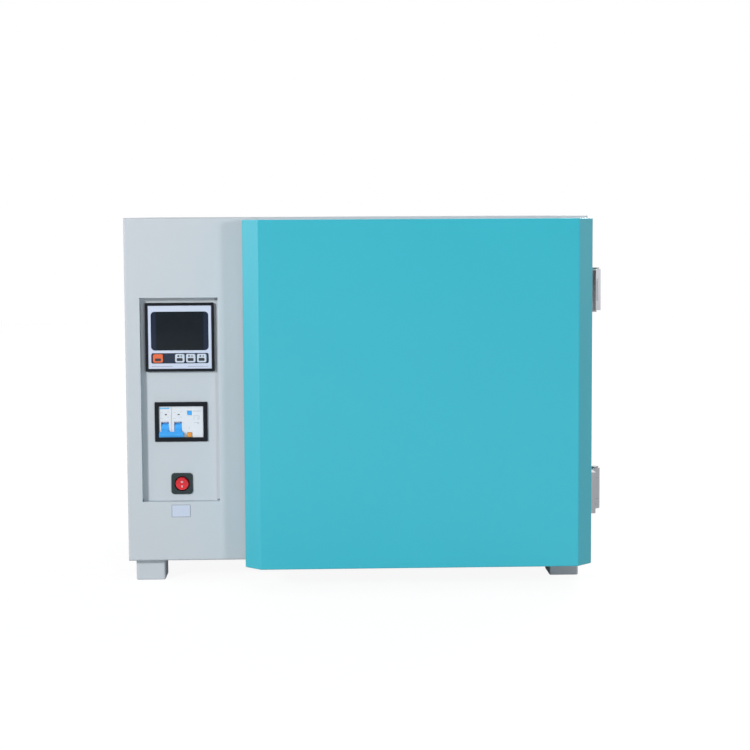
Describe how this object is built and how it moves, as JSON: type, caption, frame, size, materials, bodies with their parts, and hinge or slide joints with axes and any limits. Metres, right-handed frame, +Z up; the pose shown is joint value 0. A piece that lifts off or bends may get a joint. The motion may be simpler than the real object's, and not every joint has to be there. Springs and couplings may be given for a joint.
{
  "type": "laboratory incubator",
  "caption": "Benchtop forced-air laboratory incubator: insulated side-hinged door over a shelved chamber, with a recessed strip of temperature controller, breaker and power switch.",
  "frame": {"origin": "bottom centre of the whole object, on the surface under the feet", "axes": "+X to the right of someone facing the door, +Y to the back, +Z up"},
  "size_m": [0.663, 0.571, 0.51],
  "materials": {
    "painted_grey_sheet": "satin powder coat, light grey",
    "painted_turquoise_sheet": "satin powder coat, turquoise",
    "stainless_sheet": "brushed",
    "zinc_plated_sheet": "zinc plated, dull",
    "polished_wire": "electropolished",
    "hinge_casting": "satin plated casting",
    "steel_pin": "ground",
    "mineral_wool": "matted fibre",
    "silicone_seal": "soft, matt",
    "ferrite_magnet": "matt",
    "fan_aluminium": "as pressed",
    "motor_enamel": "semi-gloss black enamel",
    "heater_sheath": "oxidised stainless",
    "black_plastic": "fine matt moulded",
    "faceplate_lavender": "printed film, satin",
    "window_smoke": "smoked window, gloss",
    "keypad_navy": "matt",
    "key_orange": "satin",
    "key_white": "satin",
    "breaker_white": "moulded, satin",
    "lever_blue": "moulded, satin",
    "button_amber": "moulded, satin",
    "switch_charcoal": "moulded, satin",
    "rocker_red": "moulded, gloss",
    "sink_aluminium": "anodised",
    "relay_grey": "moulded"
  },
  "bodies": {
    "cabinet": {"control_fascia": "painted_grey_sheet", "mouth_frame": "painted_grey_sheet", "top_panel": "painted_grey_sheet", "right_side_panel": "painted_grey_sheet", "left_side_cover": "painted_grey_sheet", "back_panel": "painted_grey_sheet", "base_pan": "zinc_plated_sheet", "foot_front_left": "painted_grey_sheet", "foot_front_right": "painted_grey_sheet", "foot_rear_left": "painted_grey_sheet", "foot_rear_right": "painted_grey_sheet", "instrument_panel": "painted_grey_sheet", "partition_wall": "zinc_plated_sheet", "chamber_liner": "stainless_sheet", "insulation_slabs": "mineral_wool", "door_gasket": "silicone_seal", "duct_panel": "stainless_sheet", "shelf_runners": "stainless_sheet", "shelf_lower": "polished_wire", "shelf_upper": "polished_wire", "fan_motor": "motor_enamel", "motor_bracket": "zinc_plated_sheet", "heater_elements": "heater_sheath", "temperature_probe": "steel_pin", "vent_duct": "stainless_sheet", "cable_gland": "black_plastic", "door_magnets": "ferrite_magnet", "hinge_cabinet_leaves": "hinge_casting", "hinge_pins": "steel_pin", "controller_housing": "black_plastic", "controller_faceplate": "faceplate_lavender", "controller_window": "window_smoke", "keypad_strip": "keypad_navy", "controller_clamps": "black_plastic", "breaker_frame": "black_plastic", "breaker_body": "breaker_white", "leakage_module": "breaker_white", "mounting_rail": "zinc_plated_sheet", "rail_bracket": "zinc_plated_sheet", "power_switch_body": "switch_charcoal", "heat_sink": "sink_aluminium", "solid_state_relay": "relay_grey", "terminal_block": "black_plastic"},
    "door": {"door_outer_shell": "painted_turquoise_sheet", "door_insulation": "mineral_wool", "door_inner_panel": "stainless_sheet", "strike_plates": "zinc_plated_sheet", "hinge_door_leaves": "hinge_casting"},
    "fan": {"fan_impeller": "fan_aluminium", "fan_shaft": "steel_pin"},
    "damper": {"damper_plate": "stainless_sheet", "damper_spindle": "black_plastic"},
    "lever": {"breaker_lever": "lever_blue"},
    "test_button": {"breaker_test_button": "button_amber"},
    "reset_button": {"breaker_reset_button": "lever_blue"},
    "rocker": {"power_rocker": "rocker_red"},
    "set_key": {"key_set": "key_orange"},
    "white_key_1": {"key_white_1": "key_white"},
    "white_key_2": {"key_white_2": "key_white"},
    "white_key_3": {"key_white_3": "key_white"}
  },
  "joints": [
    {"name": "door_swing", "type": "hinge", "parent": "cabinet", "child": "door", "pos_m": [0.323, -0.1985, 0.27], "axis": [0, 0, 1], "range_deg": [0, 170]},
    {"name": "fan_spin", "type": "hinge", "parent": "cabinet", "child": "fan", "pos_m": [-0.0965, -0.0195, 0.27], "axis": [1, 0, 0], "continuous": true},
    {"name": "damper_turn", "type": "hinge", "parent": "cabinet", "child": "damper", "pos_m": [0.0725, 0.2505, 0.39], "axis": [1, 0, 0], "range_deg": [0, 90]},
    {"name": "breaker_lever_throw", "type": "hinge", "parent": "cabinet", "child": "lever", "pos_m": [-0.2696, -0.177, 0.21655], "axis": [-1, 0, 0], "range_deg": [0, 76]},
    {"name": "breaker_test_press", "type": "slide", "parent": "cabinet", "child": "test_button", "axis": [0, 1, 0], "range_m": [0, 0.0015], "stiffness_N_per_m": 400},
    {"name": "breaker_reset_travel", "type": "slide", "parent": "cabinet", "child": "reset_button", "axis": [0, -1, 0], "range_m": [0, 0.002]},
    {"name": "power_rocker_tilt", "type": "hinge", "parent": "cabinet", "child": "rocker", "pos_m": [-0.2561, -0.1821, 0.1375], "axis": [-1, 0, 0], "range_deg": [0, 18]},
    {"name": "key_set_press", "type": "slide", "parent": "cabinet", "child": "set_key", "axis": [0, 1, 0], "range_m": [0, 0.0008], "stiffness_N_per_m": 250},
    {"name": "key_white_1_press", "type": "slide", "parent": "cabinet", "child": "white_key_1", "axis": [0, 1, 0], "range_m": [0, 0.0008], "stiffness_N_per_m": 250},
    {"name": "key_white_2_press", "type": "slide", "parent": "cabinet", "child": "white_key_2", "axis": [0, 1, 0], "range_m": [0, 0.0008], "stiffness_N_per_m": 250},
    {"name": "key_white_3_press", "type": "slide", "parent": "cabinet", "child": "white_key_3", "axis": [0, 1, 0], "range_m": [0, 0.0008], "stiffness_N_per_m": 250}
  ]
}
